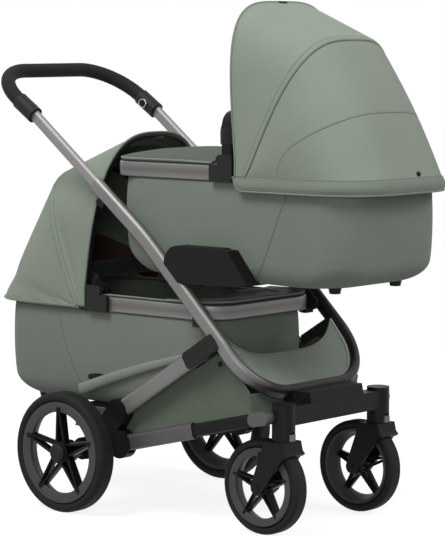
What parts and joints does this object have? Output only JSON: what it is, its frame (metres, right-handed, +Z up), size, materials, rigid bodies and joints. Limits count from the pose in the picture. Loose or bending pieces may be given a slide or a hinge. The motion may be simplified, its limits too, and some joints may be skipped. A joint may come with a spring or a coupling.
{
  "type": "twin pram",
  "caption": "Pram with a folding tube chassis and a telescopic handle that carries two hooded carrycots, one above the other, over a shopping basket.",
  "frame": {"origin": "on the floor, in the middle plane, halfway between the rearmost and the foremost point", "axes": "+X forwards, the way the pram rolls when it is pushed; +Y to its left; +Z up"},
  "size_m": [1.1396, 0.626, 1.1757],
  "materials": {
    "frame_grey": "satin warm grey",
    "plastic_black": "matt black",
    "plastic_grey": "matt dark grey",
    "tyre": "matt black",
    "rim_grey": "matt dark grey",
    "sage_cloth": "woven",
    "dark_cloth": "woven",
    "lining": "woven",
    "button_silver": "satin",
    "grip_foam": "matt foam",
    "steel": "brushed"
  },
  "bodies": {
    "chassis": {"main_frame": "frame_grey", "leg_brackets": "plastic_grey", "rail_brackets": "frame_grey", "front_axle": "plastic_black", "footwell_panel": "sage_cloth", "basket": "dark_cloth", "upper_adapters": "plastic_black", "lower_adapters": "plastic_grey"},
    "handle": {"handle_tube": "frame_grey", "handle_grip": "grip_foam", "grip_sleeves": "plastic_grey"},
    "button_left": {"handle_button_left": "button_silver"},
    "button_right": {"handle_button_right": "button_silver"},
    "lever_left": {"fold_lever_left": "plastic_black"},
    "lever_right": {"fold_lever_right": "plastic_black"},
    "rear_frame": {"rear_legs": "frame_grey", "rear_blocks": "plastic_black", "rear_axle": "steel"},
    "rails_rear": {"rail_tubes": "frame_grey"},
    "rails_front": {"rail_rods": "plastic_black"},
    "brake": {"brake_pedal": "plastic_black"},
    "rear_wheel_left": {"rear_tyre_left": "tyre", "rear_rim_left": "rim_grey", "hub_cap_left": "plastic_grey"},
    "rear_wheel_right": {"rear_tyre_right": "tyre", "rear_rim_right": "rim_grey", "hub_cap_right": "plastic_grey"},
    "caster_left": {"fork_left": "plastic_black", "fork_pin_left": "steel"},
    "caster_right": {"fork_right": "plastic_black", "fork_pin_right": "steel"},
    "front_wheel_left": {"front_tyre_left": "tyre", "front_rim_left": "rim_grey"},
    "front_wheel_right": {"front_tyre_right": "tyre", "front_rim_right": "rim_grey"},
    "lock_left": {"swivel_lock_left": "button_silver"},
    "lock_right": {"swivel_lock_right": "button_silver"},
    "upper_cot": {"upper_tub": "sage_cloth", "upper_rim": "frame_grey", "upper_apron": "sage_cloth", "upper_mattress": "lining", "upper_hood": "sage_cloth", "upper_hood_clips": "plastic_grey", "upper_feet": "plastic_black"},
    "upper_bow": {"upper_front_bow": "plastic_black"},
    "upper_inner_bow": {"upper_mid_bow": "plastic_black"},
    "upper_carry": {"upper_carry_handle": "plastic_black"},
    "lower_cot": {"lower_tub": "sage_cloth", "lower_rim": "frame_grey", "lower_apron": "sage_cloth", "lower_mattress": "lining", "lower_hood": "sage_cloth", "lower_hood_clips": "plastic_grey", "lower_feet": "plastic_black"},
    "lower_bow": {"lower_front_bow": "plastic_black"},
    "lower_inner_bow": {"lower_mid_bow": "plastic_black"},
    "lower_carry": {"lower_carry_handle": "plastic_black"}
  },
  "joints": [
    {"name": "chassis_fold", "type": "hinge", "parent": "chassis", "child": "rear_frame", "pos_m": [0.145, 0, 0.395], "axis": [0, -1, 0], "range_deg": [0, 25]},
    {"name": "rail_rod_turn", "type": "hinge", "parent": "chassis", "child": "rails_front", "pos_m": [0.306, 0, 0.262], "axis": [0, -1, 0], "range_deg": [0, 18.5]},
    {"name": "rail_tube_turn", "type": "hinge", "parent": "rear_frame", "child": "rails_rear", "pos_m": [-0.096, 0, 0.163], "axis": [0, -1, 0], "range_deg": [-6.7, 0]},
    {"name": "brake_press", "type": "hinge", "parent": "rear_frame", "child": "brake", "pos_m": [-0.214, 0, 0.14], "axis": [0, -1, 0], "range_deg": [0, 20]},
    {"name": "rear_wheel_left_spin", "type": "hinge", "parent": "rear_frame", "child": "rear_wheel_left", "pos_m": [-0.214, 0.281, 0.14], "axis": [0, 1, 0], "continuous": true},
    {"name": "caster_left_swivel", "type": "hinge", "parent": "chassis", "child": "caster_left", "pos_m": [0.351, 0.172, 0.25], "axis": [0, 0, 1], "continuous": true},
    {"name": "front_wheel_left_spin", "type": "hinge", "parent": "caster_left", "child": "front_wheel_left", "pos_m": [0.299, 0.172, 0.107], "axis": [0, 1, 0], "continuous": true},
    {"name": "swivel_lock_left_slide", "type": "slide", "parent": "chassis", "child": "lock_left", "axis": [0, 0, 1], "range_m": [0, 0.005]},
    {"name": "handle_button_left_press", "type": "slide", "parent": "handle", "child": "button_left", "axis": [0, 1, 0], "range_m": [0, 0.0025], "stiffness_N_per_m": 400, "springref_m": -0.001},
    {"name": "fold_lever_left_pull", "type": "slide", "parent": "chassis", "child": "lever_left", "axis": [-0.7912, 0, 0.6115], "range_m": [0, 0.008], "stiffness_N_per_m": 300, "springref_m": -0.001},
    {"name": "rear_wheel_right_spin", "type": "hinge", "parent": "rear_frame", "child": "rear_wheel_right", "pos_m": [-0.214, -0.281, 0.14], "axis": [0, 1, 0], "continuous": true},
    {"name": "caster_right_swivel", "type": "hinge", "parent": "chassis", "child": "caster_right", "pos_m": [0.351, -0.172, 0.25], "axis": [0, 0, 1], "continuous": true},
    {"name": "front_wheel_right_spin", "type": "hinge", "parent": "caster_right", "child": "front_wheel_right", "pos_m": [0.299, -0.172, 0.107], "axis": [0, 1, 0], "continuous": true},
    {"name": "swivel_lock_right_slide", "type": "slide", "parent": "chassis", "child": "lock_right", "axis": [0, 0, 1], "range_m": [0, 0.005]},
    {"name": "handle_button_right_press", "type": "slide", "parent": "handle", "child": "button_right", "axis": [0, -1, 0], "range_m": [0, 0.0025], "stiffness_N_per_m": 400, "springref_m": -0.001},
    {"name": "fold_lever_right_pull", "type": "slide", "parent": "chassis", "child": "lever_right", "axis": [-0.7912, 0, 0.6115], "range_m": [0, 0.008], "stiffness_N_per_m": 300, "springref_m": -0.001},
    {"name": "handle_slide", "type": "slide", "parent": "chassis", "child": "handle", "axis": [0.7912, 0, -0.6115], "range_m": [0, 0.09]},
    {"name": "upper_hood_fold", "type": "hinge", "parent": "upper_cot", "child": "upper_bow", "pos_m": [0.231, 0, 0.829], "axis": [0, 1, 0], "range_deg": [0, 76], "deforming": ["upper_hood"]},
    {"name": "upper_inner_bow_fold", "type": "hinge", "parent": "upper_cot", "child": "upper_inner_bow", "pos_m": [0.231, 0, 0.829], "axis": [0, 1, 0], "range_deg": [0, 51.5]},
    {"name": "lower_hood_fold", "type": "hinge", "parent": "lower_cot", "child": "lower_bow", "pos_m": [-0.231, 0, 0.512], "axis": [0, -1, 0], "range_deg": [0, 80], "deforming": ["lower_hood"]},
    {"name": "lower_inner_bow_fold", "type": "hinge", "parent": "lower_cot", "child": "lower_inner_bow", "pos_m": [-0.231, 0, 0.512], "axis": [0, -1, 0], "range_deg": [0, 51.5]},
    {"name": "upper_carry_swing", "type": "hinge", "parent": "upper_cot", "child": "upper_carry", "pos_m": [0.189, 0, 0.829], "axis": [0, -1, 0], "range_deg": [0, 55]},
    {"name": "lower_carry_swing", "type": "hinge", "parent": "lower_cot", "child": "lower_carry", "pos_m": [-0.189, 0, 0.512], "axis": [0, 1, 0], "range_deg": [0, 70]},
    {"name": "upper_cot_lift", "type": "slide", "parent": "chassis", "child": "upper_cot", "axis": [0, 0, 1], "range_m": [0, 0.25]},
    {"name": "lower_cot_lift", "type": "slide", "parent": "chassis", "child": "lower_cot", "axis": [0, 0, 1], "range_m": [0, 0.03]}
  ],
  "couplings": [
    {"joint": "rail_rod_turn", "follows": "chassis_fold", "ratio": 0.736},
    {"joint": "rail_tube_turn", "follows": "chassis_fold", "ratio": -0.264},
    {"joint": "upper_inner_bow_fold", "follows": "upper_hood_fold", "ratio": 0.671},
    {"joint": "lower_inner_bow_fold", "follows": "lower_hood_fold", "ratio": 0.6375}
  ]
}
